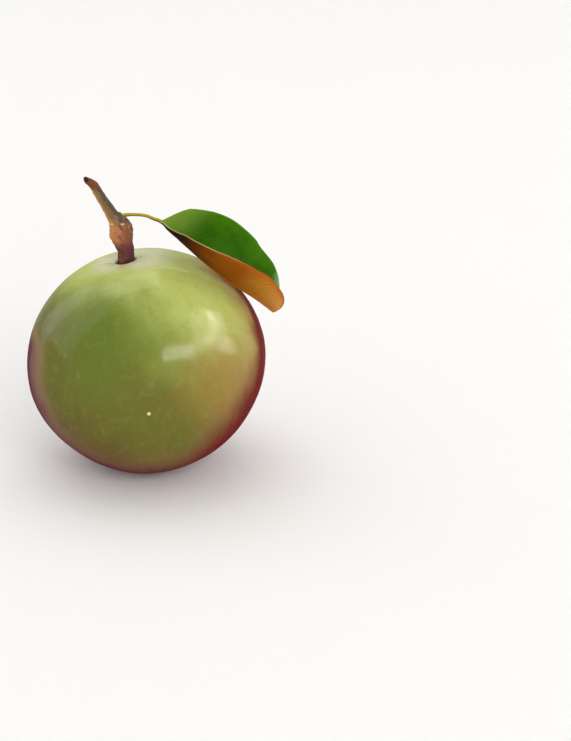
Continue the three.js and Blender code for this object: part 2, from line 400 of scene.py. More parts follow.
def skin_material():
    material, tree, inputs = new_material("skin", Coat_Roughness=0.155, Specular_IOR_Level=0.0)
    from_middle = (node(tree, "ShaderNodeTexCoord", out="Object") - tuple(FRUIT_MIDDLE)) * (1 / ACROSS)
    east, north, up = from_middle.parts()
    x = east * math.cos(FRUIT_LEAN) + up * math.sin(FRUIT_LEAN)
    y = north
    z = up * math.cos(FRUIT_LEAN) - east * math.sin(FRUIT_LEAN)
    place = vector(tree, x, y, z)
    around = (x * x + y * y + NEAR_AXIS).root()
    meridian = vector(tree, x / around * STREAKS_ROUND, y / around * STREAKS_ROUND, z * STREAKS_ALONG)

    slow = cloud(tree, place, *SLOW) - 0.5
    blotch = cloud(tree, place, *BLOTCH) - 0.5
    streak = cloud(tree, meridian, *STREAK) - 0.5
    fine = cloud(tree, place, *FINE) - 0.5
    mottle = cloud(tree, place, *MOTTLE) - 0.5

    shoulder = up.between(*SHOULDER_UP) * east.between(*SHOULDER_WEST)
    # Paler where the light falls and brown underneath: painted light and shade over the skin's own ripening
    # colours
    sunned_and_lit = from_middle.by("DOT_PRODUCT", LIT_SUNNY_SIDE)
    sunned_and_lit = sunned_and_lit + slow * SUN_AND_LIGHT_WANDER["slow"] + blotch * SUN_AND_LIGHT_WANDER["blotch"] + shoulder * SHOULDER_LIFT
    colour = stained(tree, BROWN, sunned_and_lit, OLIVE)
    colour = stained(tree, colour, sunned_and_lit, FRESH)
    colour = stained(tree, colour, sunned_and_lit, SUNNED_AND_LIT)
    off_green = (from_middle - GREEN_MIDDLE).by("LENGTH") + blotch * PATCH_WANDER + slow * PATCH_WANDER
    colour = stained(tree, colour, off_green, UNRIPE)
    # A warm patch on the right cheek: painted reflection
    off_warm_reflection = (from_middle - WARM_REFLECTION_MIDDLE).by("LENGTH") + blotch * PATCH_WANDER + slow * PATCH_WANDER
    colour = stained(tree, colour, off_warm_reflection, WARM_REFLECTION)
    # A darker patch high on the right, under the leaf's edge: the leaf's painted shadow
    off_leaf_shadow = (from_middle - LEAF_SHADOW_MIDDLE).by("LENGTH") + blotch * LEAF_SHADOW_WANDER
    colour = stained(tree, colour, off_leaf_shadow, LEAF_SHADOW)
    colour = stained(tree, colour, streak, DARK_STREAKS)
    colour = stained(tree, colour, mottle, DARK_MOTTLE)
    colour = stained(tree, colour, mottle, PALE_MOTTLE)
    colour = stained(tree, colour, streak, PALE_STREAKS)

    toward_front = north * -math.cos(LOOK_DOWN) + up * math.sin(LOOK_DOWN)
    height = north * math.sin(LOOK_DOWN) + up * math.cos(LOOK_DOWN)
    low_cheek = (east - LOW_CHEEK_FROM).above(0.0) * (LOW_CHEEK_TOP - height).above(0.0)
    west_rim = (-east).between(*WEST_RIM) * height.between(*WEST_RIM_TOP) * height.between(*WEST_RIM_FOOT)
    high = (height - east * HIGH_TILT - HIGH_FROM).above(0.0)
    edge = BLUSH_EDGE - high * HIGH_RETREAT + low_cheek * BLUSH_ADVANCE["low cheek"]
    edge = edge + west_rim * BLUSH_ADVANCE["west rim"]
    behind = toward_front.between(*BEHIND)
    wander = slow * BLUSH_WANDER["slow"] + blotch * BLUSH_WANDER["blotch"] + streak * BLUSH_WANDER["streak"]
    blush = edge - toward_front + wander * (BLUSH_WANDER["in front"] + behind * BLUSH_WANDER["behind"])
    soft = BLUSH_SOFTNESS["in front"] + behind * BLUSH_SOFTNESS["behind"]
    soft = soft + low_cheek * BLUSH_SOFTNESS["low cheek"] + west_rim * BLUSH_SOFTNESS["west rim"]
    soft = soft + (-height).above(0.0) * BLUSH_SOFTNESS["low"]
    reds = stained(tree, MAUVE, east + slow * CRIMSON_WANDER, CRIMSON)
    reds = stained(tree, reds, streak + fine * DARK_RED_FINE, DARK_RED)
    pale_step, pale_red = PALE_RED
    pale = (blotch * PALE_RED_BLOTCH + streak * PALE_RED_STREAK + slow).between(*pale_step)
    reds = mix(tree, pale * behind, reds, pale_red)
    halo = stained(tree, LOW_HALO, height, HIGH_HALO)
    halo = mix(tree, west_rim * WEST_HALO_SHARE, halo, WEST_HALO)
    colour = mix(tree, (blush + HALO_LEAD).between(-soft * HALO_SPREAD, soft, *HALO_SHARES), colour, halo)
    colour = mix(tree, blush.between(-soft, soft, *BLUSH_SHARES), colour, reds)

    distance, number = specks(tree, place, DOTS_SCALE)
    colour = stained(tree, colour, distance - number * DOTS_VARY, PALE_DOTS)
    colour = stained(tree, colour, fine, BROWN_FLECKS)

    foot = vector(tree, east, north, 0.0) * ACROSS - (STALK_FOOT[0] - FRUIT_MIDDLE.x, STALK_FOOT[1], 0)
    off_foot = foot.by("LENGTH")
    on_top = up.between(*ON_TOP)
    foot_east, foot_north, _ = foot.parts()
    off_gap = ((foot_north + foot_east * GAP_TURN) / off_foot + blotch * GAP_WANDER).between(*BLOOM_AND_SHEEN_GAP)
    bloom_and_sheen_step, bloom_and_sheen_white = BLOOM_AND_SHEEN
    bloom_and_sheen = off_foot - foot_east.above(0.0) * BLOOM_AND_SHEEN_EASTWARD + blotch * BLOOM_AND_SHEEN_WANDER
    bloom_and_sheen = bloom_and_sheen.between(*bloom_and_sheen_step) * off_gap * (BLOOM_AND_SHEEN_STREAKS[0] + streak * BLOOM_AND_SHEEN_STREAKS[1])
    # The whitish bloom is partly painted sheen
    colour = mix(tree, bloom_and_sheen * on_top, colour, bloom_and_sheen_white)
    russet_step, russet_brown = RUSSET
    russet = off_foot + (blotch * RUSSET_WANDER["blotch"] + streak * RUSSET_WANDER["streak"]) * MM
    colour = mix(tree, russet.between(*russet_step) * on_top, colour, russet_brown)
    bearing = foot_north.by("ARCTAN2", foot_east)
    for turn, length in STALK_CRACKS:
        turned = bearing - math.radians(turn)
        off_line = turned.sine().size() * off_foot + (fine + blotch * 0.5) * CRACK_WANDER
        same_way = turned.cosine().between(*CRACK_SAME_WAY)
        crack = off_line.size().between(*CRACK_BREADTH) * off_foot.between(length * MM, CRACK_FULL)
        colour = mix(tree, crack * same_way * on_top * CRACK_SHARE, colour, CRACKED)
    drop = recalled(tree, "drop")
    # The drop's pale colour is dried sap and a painted glint
    feed(tree, inputs["Base Color"], mix(tree, drop, colour, SAP_AND_GLINT))

    gloss = blush.between(*SKIN_GLOSS) * (1 - bloom_and_sheen * on_top * BLOOM_AND_SHEEN_DULLS)
    feed(tree, inputs["Coat Weight"], gloss + drop * SAP_GLOSS)
    roughness = SKIN_ROUGHNESS + fine * ROUGHNESS_WANDER["fine"] + blotch * ROUGHNESS_WANDER["blotch"]
    feed(tree, inputs["Roughness"], roughness)
    roughen(tree, inputs, fine * 0.5 + streak * 0.5, SKIN_RELIEF)
    return material


MERIDIANS = 288
PARALLELS = 190
# Slight lobes: how many, where they start and how high they rise as a share of the radius
FRUIT_LOBES = [(3, 0.1, 0.008), (5, 2.1, 0.004)]
FRUIT_UNEVEN = (2.6, 2.0)
UNEVEN_ACROSS = 0.012
UNEVEN_UP = 0.006
# The well that the stalk stands in has a ragged wall and a slightly raised lip
WELL_RAGGED = (14.0, 3.0)
RAGGED_BY = 1.2 * MM
WELL_WALL = 0.5 * MM
WELL_DEPTH = 3.4 * MM
LIP_OUTSIDE = 0.35 * MM
LIP_SPREAD = 0.55 * MM
LIP_RISE = 0.16 * MM
UPPER_SKIN_FROM = 50 * MM


def fruit_tree():
    tree, size = new_tree("fruit_growth", FRUIT_SIZES)
    segments = {"Segments": MERIDIANS, "Rings": PARALLELS, "Radius": 1.0}
    ball = node(tree, "GeometryNodeMeshUVSphere", named=segments)
    place = node(tree, "GeometryNodeInputPosition")
    x, y, z = place.parts()
    turn = y.by("ARCTAN2", x)
    from_stalk = (z.by("ARCCOSINE") / math.pi) ** size["Crowding"] * math.pi
    level = from_stalk.cosine()
    lower = level.by("LESS_THAN", 0.0)
    upper = 1 - lower
    taper = lower * size["Taper"] * (from_stalk * 2).sine() ** 2
    radius = size["Width"] / 2 * from_stalk.sine() * (1 - taper)
    hollow = upper * size["Hollow depth"] * radius.hump(0.0, size["Hollow spread"])
    dimple = lower * size["Dimple depth"] * radius.hump(0.0, size["Dimple spread"])
    swell = 1
    for count, start, rise in FRUIT_LOBES:
        swell = swell + (turn * count + start).cosine() * rise
    uneven = cloud(tree, place, *FRUIT_UNEVEN) - 0.5
    out = radius * swell * (1 + uneven * UNEVEN_ACROSS)
    up = (size["Height"] / 2 * level - hollow + dimple) * (1 + uneven * UNEVEN_UP)

    sine, cosine = size["Lean"].sine(), size["Lean"].cosine()
    across, tall = size["Width"] / 2, size["Height"] / 2
    stand = ((across * sine) ** 2 + (tall * cosine) ** 2).root()
    shift = (across**2 - tall**2) * sine * cosine / stand
    east = turn.cosine() * out * cosine - up * sine + shift
    north = turn.sine() * out
    high = (turn.cosine() * out * sine + up * cosine + stand - size["Rest depth"]).above(0.0)

    foot = ((east - STALK_FOOT[0]) ** 2 + (north - STALK_FOOT[1]) ** 2).root()
    ragged = foot + (cloud(tree, place, *WELL_RAGGED) - 0.5) * RAGGED_BY
    well = ragged.between(size["Well radius"] - WELL_WALL, size["Well radius"], -WELL_DEPTH, 0.0)
    lip = ragged.hump(size["Well radius"] + LIP_OUTSIDE, LIP_SPREAD) * LIP_RISE
    high = high + high.by("GREATER_THAN", UPPER_SKIN_FROM) * (well + lip)
    skin = moved(tree, ball, vector(tree, east, north, high))
    end_tree(tree, joined(tree, skin, sap_drop(tree, skin, size)), (skin_material(), True))
    return tree


def joined(tree, *geometries):
    joint = tree.nodes.new("GeometryNodeJoinGeometry")
    for geometry in geometries:
        tree.links.new(geometry.socket, joint.inputs[0])
    return Value(tree, joint.outputs[0])


# Which way from the middle the drop of dried sap sits, how far out its spot is taken, and how flat it is
DROP_TOWARD = (0.091, -0.994, -0.059)
DROP_SPOT_OUT = 1.05
DROP_FLATTENED = 0.5
DROP_SMOOTHNESS = 4


def sap_drop(tree, skin, size):
    """A flattened bead, half sunk in the skin where it is nearest to a spot just outside."""
    outward = tuple(Vector(DROP_TOWARD).normalized())
    spot = vector(tree, *(FRUIT_MIDDLE + Vector(outward) * ACROSS * DROP_SPOT_OUT))
    nearest = node(tree, "GeometryNodeProximity", named={"Geometry": skin, "Sample Position": spot})
    ball = {"Radius": size["Drop radius"], "Subdivisions": DROP_SMOOTHNESS}
    bead = node(tree, "GeometryNodeMeshIcoSphere", named=ball)
    place = node(tree, "GeometryNodeInputPosition")
    height = place.by("DOT_PRODUCT", outward) * DROP_FLATTENED
    pressed = node(tree, "ShaderNodeVectorMath", outward, None, None, height, operation="SCALE")
    return noted(tree, moved(tree, bead, place - pressed + nearest), "drop", 1.0)


FRUIT_SIZES = {
    "Width": FRUIT_WIDTH,
    "Height": FRUIT_HEIGHT,
    "Lean": FRUIT_LEAN,
    "Rest depth": REST_DEPTH,
    "Taper": 0.03,
    "Crowding": 1.4,
    "Hollow depth": 2.2 * MM,
    "Hollow spread": 8.0 * MM,
    "Dimple depth": 0.5 * MM,
    "Dimple spread": 2.5 * MM,
    "Well radius": 3.15 * MM,
    "Drop radius": 0.6 * MM,
}
fruit = grow("fruit_skin", fruit_tree(), FRUIT_SIZES)
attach(fruit, "root")
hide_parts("fruit")

# Twig
# The short woody end of the branch that the fruit hung from: a stub that grows out of the fruit, a knob
# of old stalk scars, and a thin twig that was snapped off. It stands in the well in the fruit.

TWIG = [
    ((-5.0, 0, 66.8), 2.3),
    ((-4.9, 0, 70.6), 2.6),
    ((-4.8, 0, 75.6), 2.55),
    ((-5.5, 0, 77.9), 3.0),
    ((-6.0, 0, 80.4), 3.5),
    ((-6.2, 0, 83.0), 3.65),
    ((-7.0, 0.1, 85.0), 2.95),
    ((-8.6, 0.4, 87.0), 2.1),
    ((-10.3, 0.8, 89.7), 1.65),
    ((-12.8, 1.4, 93.7), 1.45),
    ((-14.8, 1.9, 96.9), 1.35),
    ((-17.2, 2.1, 98.6), 0.85),
]
# Where the twig swells, how far out and how wide
TWIG_SWELLINGS = [
    ((-9.6, -2.6, 80.9), 0.75, 1.7),
    ((-2.6, -0.6, 82.7), 0.45, 1.1),
    ((-9.2, -2.0, 84.6), 0.5, 1.1),
    ((-5.4, -3.4, 84.6), 0.35, 1.3),
    ((-3.2, 1.8, 80.2), 0.5, 1.6),
    ((-7.6, 3.2, 82.6), 0.5, 1.8),
]
# Pale scars where leaf stalks fell off, and how wide
TWIG_SCARS = [((-5.3, -3.0, 85.0), 0.55), ((-8.6, -2.2, 84.9), 0.45), ((-6.6, 3.4, 83.4), 0.7)]
BREAK_DEPTH = 0.9 * MM
FINE_STEPS = 4001


def smooth_path(stations, count):
    """Points and radii at even steps along a smooth curve through the stations, and the turning share."""
    places = np.array([place for place, _ in stations]) * MM
    radii = np.array([radius for _, radius in stations]) * MM
    padded = np.vstack([2 * places[0] - places[1], places, 2 * places[-1] - places[-2]])
    gaps = np.sqrt(np.linalg.norm(np.diff(padded, axis=0), axis=1))[:, None]
    turning = np.linspace(0, len(places) - 1, FINE_STEPS)
    i = np.minimum(turning.astype(int), len(places) - 2)
    w = (turning - i)[:, None]
    a, b, c, d = (padded[i + k] for k in range(4))
    before, here, after = (gaps[i + k] for k in range(3))
    leave = ((b - a) / before - (c - a) / (before + here) + (c - b) / here) * here
    arrive = ((c - b) / here - (d - b) / (here + after) + (d - c) / after) * here
    curve = b + leave * w + (3 * (c - b) - 2 * leave - arrive) * w**2 + (2 * (b - c) + leave + arrive) * w**3
    run = np.concatenate([[0], np.cumsum(np.linalg.norm(np.diff(curve, axis=0), axis=1))])
    even = np.interp(np.linspace(0, run[-1], count), run, turning)
    points = np.stack([np.interp(even, turning, curve[:, k]) for k in range(3)], axis=1)
    return points, np.interp(even, np.arange(len(radii)), radii), even


def thread(name, points, radii):
    """A line of edges through the points, with a radius on each."""
    mesh = bpy.data.meshes.new(name)
    mesh.from_pydata(points.tolist(), [(i, i + 1) for i in range(len(points) - 1)], [])
    mesh.attributes.new("radius_here", "FLOAT", "POINT").data.foreach_set("value", radii)
    return mesh


# Random patterns in the bark, with scales per metre. Both are stretched along the twig, and the grain is
# wrapped round it as round a rod of this radius in mm
GRAIN = (900.0, 4.0, 0.6)
GRAIN_ALONG = 0.22
BARK_PATCH = (420.0, 3.0)
PATCH_ALONG = 0.5
ROUND_MM = 2.5
# Colours up the twig, by height above the surface
STUB = paint("64362d")
KNOB = ((76.5 * MM, 80.0 * MM), paint("a96a49"))
SHAFT = ((83.6 * MM, 86.0 * MM), paint("7a5e3c"))
HEIGHT_WANDER = 2.5 * MM
TIP = ((95.0 * MM, 97.0 * MM, 0, 0.85), paint("6a3212"))
# The foot of the stub, where it stands in the well, is darkened: painted shade
SHADED_FOOT = ((73.5 * MM, 71.0 * MM, 0, 0.8), paint("2e1718"))
# Colours by pattern, by the side of the twig and by relief. Ochre on the west side is partly painted light,
# and the dark east side is painted shade
RUST_PATCHES = ((0.02, 0.16, 0, 0.55), paint("8a4a34"))
DARK_GRAIN = ((0.0, 0.2, 0, 0.6), paint("4d3a2b"))
LIT_OCHRE = ((0.3, 0.65, 0, 0.9), paint("b58040"))
LIT_OCHRE_WANDER = 0.5
LIT_OCHRE_FROM = (78 * MM, 80 * MM)
GREYISH = ((0.1, 0.2, 0, 0.35), paint("8d7a70"))
GREYISH_GRAIN = 0.3
GREYISH_FROM = (86 * MM, 88 * MM)
SHADED = ((-0.1, 0.45, 0, 0.85), paint("2e251e"))
SHADED_WANDER = 0.6
SHADED_FROM = (84 * MM, 86 * MM)
RUDDY_STEP = (0.0, 0.6, 0, 0.7)
RUDDY_WANDER = 0.7
RUDDY_BELOW = (86.5 * MM, 84.5 * MM)
LOW_RUDDY = paint("57263a")
HIGH_RUDDY = ((77 * MM, 80 * MM), paint("74402a"))
DARK_HOLLOWS = ((-0.02 * MM, -0.16 * MM, 0, 0.7), paint("3b2419"))
PALE_RIDGES = ((0.12 * MM, 0.3 * MM, 0, 0.22), paint("cf9a72"))
SCARRED = paint("c7a878")
BROKEN_WOOD = paint("4a1d12")
BARK_RELIEF = 0.12 * MM


def bark_material():
    material, tree, inputs = new_material("bark", Roughness=0.72, Specular_IOR_Level=0.2)
    x, y, z = node(tree, "ShaderNodeTexCoord", out="Object").parts()
    place = vector(tree, x, y, z * PATCH_ALONG)
    turn, along = recalled(tree, "turn") * (2 * math.pi), recalled(tree, "along")
    round_it = vector(tree, turn.cosine() * ROUND_MM * MM, turn.sine() * ROUND_MM * MM, along * GRAIN_ALONG)
    grain = cloud(tree, round_it, *GRAIN) - 0.5
    patch = cloud(tree, place, *BARK_PATCH) - 0.5
    relief = recalled(tree, "relief")
    west = recalled(tree, "west")

    height = z + patch * HEIGHT_WANDER
    colour = stained(tree, STUB, height, KNOB)
    colour = stained(tree, colour, patch, RUST_PATCHES)
    colour = stained(tree, colour, height, SHAFT)
    colour = stained(tree, colour, grain, DARK_GRAIN)
    # Painted light on the west side and painted shade on the east
    for pattern, (step, tint), heights in (
        (west + patch * LIT_OCHRE_WANDER, LIT_OCHRE, LIT_OCHRE_FROM),
        (patch + grain * GREYISH_GRAIN, GREYISH, GREYISH_FROM),
        (-west + patch * SHADED_WANDER, SHADED, SHADED_FROM),
    ):
        colour = mix(tree, pattern.between(*step) * z.between(*heights), colour, tint)
    ruddy = (-west + patch * RUDDY_WANDER).between(*RUDDY_STEP) * z.between(*RUDDY_BELOW)
    colour = mix(tree, ruddy, colour, stained(tree, LOW_RUDDY, height, HIGH_RUDDY))
    colour = stained(tree, colour, z, TIP)
    # Painted shade at the foot of the stub
    colour = stained(tree, colour, height, SHADED_FOOT)
    colour = stained(tree, colour, relief, DARK_HOLLOWS)
    colour = stained(tree, colour, relief, PALE_RIDGES)
    colour = mix(tree, recalled(tree, "scar"), colour, SCARRED)
    colour = mix(tree, recalled(tree, "broken").between(0.0, 1.0), colour, BROKEN_WOOD)
    feed(tree, inputs["Base Color"], colour)
    roughen(tree, inputs, grain, BARK_RELIEF)
    return material


TWIG_SIDES = 168
MM_IN_A_METRE = 1000
SCAR_FLATTENED = (1, 1, 2.6)
SCAR_EDGE = (1.7, 0.9)
KNOB_SPREAD = 4.5 * MM
# The bark has fine wrinkles along it, lumps that are highest on the knob, and low folds across it
WRINKLE = (520.0, 4.0, 0.6)
WRINKLE_ALONG = 0.3
WRINKLE_DEPTH = 1.1 * MM
WRINKLE_MIDDLE = 0.12
LUMP = (520.0, 3.0)
LUMP_ON_KNOB = 0.9
LUMP_ELSEWHERE = 0.25
FOLD_EVERY = 2.7 * MM
FOLD_RISE = 0.06 * MM
FOLD_WANDER = 22.0
SCAR_RISE = 0.12 * MM
FADE_BEFORE_RIM = 1.0 * MM
FADED = 0.3
# The twig was snapped off: its rim is ragged and slants, and inside it the wood is sunk
BROKEN_FROM = (-0.5 * MM, 0.1 * MM)
SNAP_RAGGED = (2.2, 3.0)
SNAP_RAGGED_BY = 1.6 * MM
SNAP_SLANT = 0.9
SNAP_MIDDLE_NORTH = 2.1 * MM
SNAP_FROM = -1.5 * MM
SNAP_SUNK = 2.2


def twig_tree():
    tree, size = new_tree("twig_growth", TWIG_SIZES)
    line = node(tree, "GeometryNodeMeshToCurve", size["Geometry"])
    line = noted(tree, line, "along", node(tree, "GeometryNodeSplineParameter", out="Length"))
    tangent = node(tree, "GeometryNodeInputTangent")
    for axis, part in zip("xyz", tangent.parts()):
        line = noted(tree, line, "tangent_" + axis, part)
    ring = node(tree, "GeometryNodeCurvePrimitiveCircle", named={"Resolution": TWIG_SIDES, "Radius": 1.0})
    ring = noted(tree, ring, "turn", node(tree, "GeometryNodeSplineParameter"))
    limb = node(tree, "GeometryNodeCurveToMesh", line, ring, recalled(tree, "radius_here"), True)

    place = node(tree, "GeometryNodeInputPosition")
    outward = node(tree, "GeometryNodeInputNormal")
    tangent = vector(tree, *(recalled(tree, "tangent_" + axis) for axis in "xyz"))
    along = recalled(tree, "along")
    rim = size["Length"] - size["Break depth"]
    limb = noted(tree, limb, "west", -(outward.parts()[0]))
    scar = None
    for spot, reach in TWIG_SCARS:
        off = (place * MM_IN_A_METRE - spot).by("MULTIPLY", SCAR_FLATTENED)
        near = off.by("LENGTH").between(reach * SCAR_EDGE[0], reach * SCAR_EDGE[1])
        scar = near if scar is None else scar.above(near)
    limb = noted(tree, limb, "scar", scar)

    lift = None
    for spot, rise, reach in TWIG_SWELLINGS:
        swelling = (place * MM_IN_A_METRE - spot).by("LENGTH").hump(0.0, reach) * (rise * MM)
        lift = swelling if lift is None else lift + swelling
    turn = recalled(tree, "turn") * (2 * math.pi)
    knobbly = along.hump(size["Knob at"], KNOB_SPREAD)
    round_it = vector(tree, turn.cosine() * ROUND_MM * MM, turn.sine() * ROUND_MM * MM, along * WRINKLE_ALONG)
    wrinkle = (cloud(tree, round_it, *WRINKLE) - 0.5).size()
    lump = cloud(tree, place, *LUMP) - 0.5
    fold = (along * (2 * math.pi / FOLD_EVERY) + lump * FOLD_WANDER).sine()
    lumps = lump * (knobbly * LUMP_ON_KNOB + LUMP_ELSEWHERE) * MM
    relief = (WRINKLE_MIDDLE - wrinkle) * WRINKLE_DEPTH + lumps
    relief = relief + fold * FOLD_RISE + recalled(tree, "scar") * SCAR_RISE
    fade = (rim - along).between(0.0, FADE_BEFORE_RIM, FADED, 1.0)
    limb = noted(tree, limb, "relief", relief * fade)
    limb = noted(tree, limb, "broken", (along - rim).between(*BROKEN_FROM))
    limb = moved(tree, limb, None, outward * (lift + recalled(tree, "relief")))

    over = (along - rim).above(0.0)
    ring_place = vector(tree, turn.cosine(), turn.sine(), 0.0)
    ragged = (cloud(tree, ring_place, *SNAP_RAGGED) - 0.5) * SNAP_RAGGED_BY
    slant = place.parts()[1] - SNAP_MIDDLE_NORTH
    up_to_rim = (along - rim).between(SNAP_FROM, 0.0)
    down_to_end = (size["Length"] - along).between(0.0, size["Break depth"])
    shift = (ragged + slant * SNAP_SLANT) * (up_to_rim * down_to_end) - over * SNAP_SUNK
    limb = moved(tree, limb, None, tangent * shift)
    end_tree(tree, limb, (bark_material(), True))
    return tree


TWIG_STEPS = 220
# The line goes on past the rim by the depth of the break, and closes there but for a small hole
KEPT_OPEN = 0.1
points, radii, _ = smooth_path(TWIG, TWIG_STEPS)
step = np.linalg.norm(points[-1] - points[-2])
beyond = np.arange(1, round(BREAK_DEPTH / step) + 1)[:, None]
points = np.vstack([points, points[-1] + (points[-1] - points[-2]) * beyond])
closing = np.sqrt(1 - (beyond[:, 0] / (len(beyond) + KEPT_OPEN)) ** 2)
radii = np.concatenate([radii, radii[-1] * closing])
TWIG_SIZES = {
    "Length": float(np.linalg.norm(np.diff(points, axis=0), axis=1).sum()),
    "Break depth": BREAK_DEPTH,
    "Knob at": 15.5 * MM,
}
twig = grow("twig_bark", twig_tree(), TWIG_SIZES, thread("twig_line", points, radii))
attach(twig, "root")
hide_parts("twig")

# Leaf
# One young leaf on a thin stalk that grows out of the twig above the knob. Its leathery blade is folded up
# along the midrib, glossy green above and covered with golden-brown down below.

LEAF_STALK = [
    ((-7.0, 0.2, 86.6), 0.75),
    ((-4.3, -0.3, 87.4), 0.6),
    ((-2.3, -0.5, 87.6), 0.5),
    ((2.2, -0.8, 87.3), 0.5),
    ((4.6, -0.6, 86.2), 0.55),
]
MIDRIB = [
    ((6.8, 0, 85.1), 0.6),
    ((14.1, -3.0, 78.9), 0.55),
    ((22.7, -5.2, 71.5), 0.5),
    ((29.7, -4.6, 65.4), 0.45),
    ((36.6, -2.2, 59.9), 0.4),
    ((42.9, 0.8, 53.8), 0.35),
]

# A place on the blade is its share of the way from base to tip, and its side, from -1 at the near edge
# through 0 at the rib to 1 at the far one. The upper side is paler at the base and the far edge, and a pale
# patch near the tip is a painted sheen
ABOVE_PATCH = (160.0, 4.0, 0.6)
ABOVE_FINE = (900.0, 3.0)
DEEP_GREEN = paint("2c5802")
MID_GREEN = ((-0.12, 0.15), paint("346604"))
YOUNG_GREEN = ((0.26, -0.02, 0, 0.62), paint("86a23c"))
YOUNG_WANDER = 0.12
YOUNG_TO_FAR = 0.03
FAR_GREEN = ((0.6, 0.98, 0, 0.22), paint("4f8a0e"))
FAR_WANDER = 0.3
VEIN_GREEN = paint("6d9432")
VEIN_GREEN_SHARE = 0.05
RIB_GREEN = ((0.03, 0.01, 0, 0.7), paint("a9ad5a"))
TIP_SHEEN = paint("8cb48a")
TIP_ALONG = (0.84, 0.93)
TIP_ACROSS = (0.6, 0.92, 0, 0.65)
TIP_WANDER = 0.12
ABOVE_ROUGHNESS = 0.55
ABOVE_ROUGHNESS_WANDER = 0.2
ABOVE_RELIEF = 0.05 * MM


def leaf_above_material():
    material, tree, inputs = new_material("leaf_above", Specular_IOR_Level=0.02)
    place = node(tree, "ShaderNodeTexCoord", out="Object")
    share, side, vein = (recalled(tree, name) for name in ("share", "side", "vein"))
    patch = cloud(tree, place, *ABOVE_PATCH) - 0.5
    fine = cloud(tree, place, *ABOVE_FINE) - 0.5
    colour = stained(tree, DEEP_GREEN, patch, MID_GREEN)
    colour = stained(tree, colour, share + patch * YOUNG_WANDER - side * YOUNG_TO_FAR, YOUNG_GREEN)
    colour = stained(tree, colour, side + patch * FAR_WANDER, FAR_GREEN)
    colour = mix(tree, vein * VEIN_GREEN_SHARE, colour, VEIN_GREEN)
    colour = stained(tree, colour, side.size(), RIB_GREEN)
    # A painted sheen near the tip
    tip_sheen = (share + patch * TIP_WANDER).between(*TIP_ALONG) * side.between(*TIP_ACROSS)
    colour = mix(tree, tip_sheen, colour, TIP_SHEEN)
    feed(tree, inputs["Base Color"], with_margin(tree, colour, share, side))
    feed(tree, inputs["Roughness"], ABOVE_ROUGHNESS + fine * ABOVE_ROUGHNESS_WANDER)
    roughen(tree, inputs, fine, ABOVE_RELIEF)
    return material


# The down underneath goes from nearly black at the base to gold at the tip: gold is its own colour, and the
# darkening toward the base is partly painted shade
BELOW_PATCH = (130.0, 4.0, 0.6)
DOWN = (1600.0, 3.0)
DOWN_SHEEN = paint("e8a860")
RIPE_AND_LIT_WANDER = 0.18
RIPE_AND_LIT_TO_EDGES = 0.05
BLACKISH = paint("0d0604")
DARK_BROWN = ((0.19, 0.33), paint("522408"))
RUSTY = ((0.27, 0.52), paint("8f4e0a"))
GOLDEN = ((0.55, 0.85), paint("b87c2a"))
PALE_GOLD = ((0.78, 1.0, 0, 0.8), paint("d8984e"))
VEIN_BROWN = paint("7c3a0c")
VEIN_BROWN_STEP = (-0.1, 0.15, 0, 0.3)
RIB_BROWN = paint("c0602a")
RIB_ACROSS = (0.07, 0.02, 0, 0.8)
RIB_ALONG = (0.2, 0.5)
EDGE_RUSSET = paint("b8581f")
EDGE_ACROSS = (-0.8, -0.96, 0, 0.6)
EDGE_ALONG = (0.35, 0.5)
DARK_DOWN = ((0.0, 0.2, 0, 0.2), paint("4a2408"))
DOWN_RELIEF = 0.08 * MM


def leaf_below_material():
    material, tree, inputs = new_material(
        "leaf_below", Roughness=0.8, Specular_IOR_Level=0.02, Sheen_Weight=0.04, Sheen_Tint=DOWN_SHEEN
    )
    place = node(tree, "ShaderNodeTexCoord", out="Object")
    share, side, vein = (recalled(tree, name) for name in ("share", "side", "vein"))
    patch = cloud(tree, place, *BELOW_PATCH) - 0.5
    down = cloud(tree, place, *DOWN) - 0.5
    ripe_and_lit = share + patch * RIPE_AND_LIT_WANDER + side.size() * RIPE_AND_LIT_TO_EDGES
    # Nearly black at the base: partly painted shade
    colour = BLACKISH
    for stain in (DARK_BROWN, RUSTY, GOLDEN, PALE_GOLD):
        colour = stained(tree, colour, ripe_and_lit, stain)
    colour = mix(tree, vein * patch.between(*VEIN_BROWN_STEP), colour, VEIN_BROWN)
    rib = side.size().between(*RIB_ACROSS) * share.between(*RIB_ALONG)
    colour = mix(tree, rib, colour, RIB_BROWN)
    russet_edge = side.between(*EDGE_ACROSS) * share.between(*EDGE_ALONG)
    colour = mix(tree, russet_edge, colour, EDGE_RUSSET)
    colour = stained(tree, colour, down, DARK_DOWN)
    feed(tree, inputs["Base Color"], with_margin(tree, colour, share, side))
    roughen(tree, inputs, down, DOWN_RELIEF)
    return material


MARGIN_ACROSS = (0.965, 0.985, 0, 0.9)
NEAR_MARGIN = paint("d6c890")
NEAR_MARGIN_RED = ((0.3, 0.6), paint("a8521f"))
FAR_MARGIN = paint("4c8210")
STALK_ABOVE = paint("a09628")
STALK_BELOW = paint("7d5a1a")


def with_margin(tree, colour, share, side):
    """A leaf colour with the thin edge of the blade, whose near one reddens toward the tip, and the stalk."""
    stalk = share.by("LESS_THAN", 0.0)
    near_edge = stained(tree, NEAR_MARGIN, share, NEAR_MARGIN_RED)
    edge = mix(tree, side.by("GREATER_THAN", 0.0), near_edge, FAR_MARGIN)
    colour = mix(tree, side.size().between(*MARGIN_ACROSS), colour, edge)
    under = recalled(tree, "under")
    return mix(tree, stalk, colour, mix(tree, under, STALK_ABOVE, STALK_BELOW))


STALK_RINGS = 56
BLADE_RINGS = 260
LOOP_POINTS = 240
SIDE_CROWDING = 0.8
# How fast the stalk opens into the blade, and how near to an end the loop is drawn to a point
OPENING_EASE = 2.2
AT_END = 1e-5
MERGED_WITHIN = 0.001 * MM
